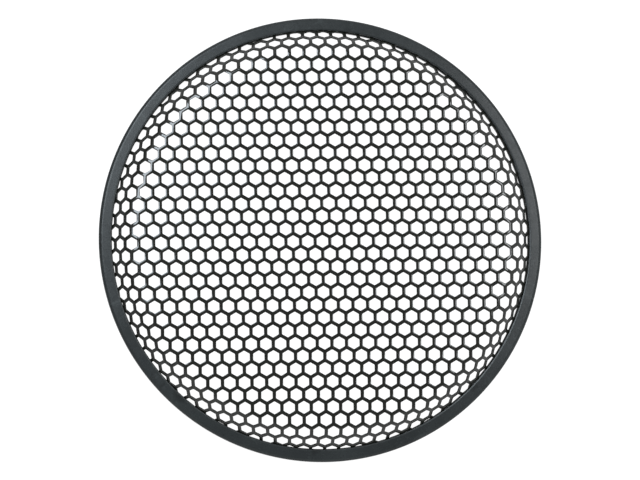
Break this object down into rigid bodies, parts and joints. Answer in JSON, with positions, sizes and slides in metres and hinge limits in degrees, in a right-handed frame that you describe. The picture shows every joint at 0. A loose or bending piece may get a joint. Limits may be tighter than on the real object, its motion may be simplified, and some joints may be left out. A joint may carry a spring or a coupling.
{
  "type": "honeycomb grid",
  "caption": "Round protective grid: hex-perforated black steel sheet pressed into a shallow dish with a flat face, held in a slate rubber edge ring.",
  "frame": {"origin": "on the axis, in the plane of the ring's underside, which the grid rests on", "axes": "+Z out of the dished face, away from the surface it rests on; the rows of holes run along X, turned 1.2 degrees anticlockwise seen from +Z"},
  "size_m": [0.3048, 0.3048, 0.0206],
  "materials": {
    "mesh_paint": "satin black powder coat",
    "hoop_steel": "plain zinc plated",
    "ring_rubber": "matt dark slate"
  },
  "bodies": {
    "root": {"hex_mesh": "mesh_paint", "flange_hoop": "hoop_steel", "edge_ring": "ring_rubber"}
  },
  "joints": []
}
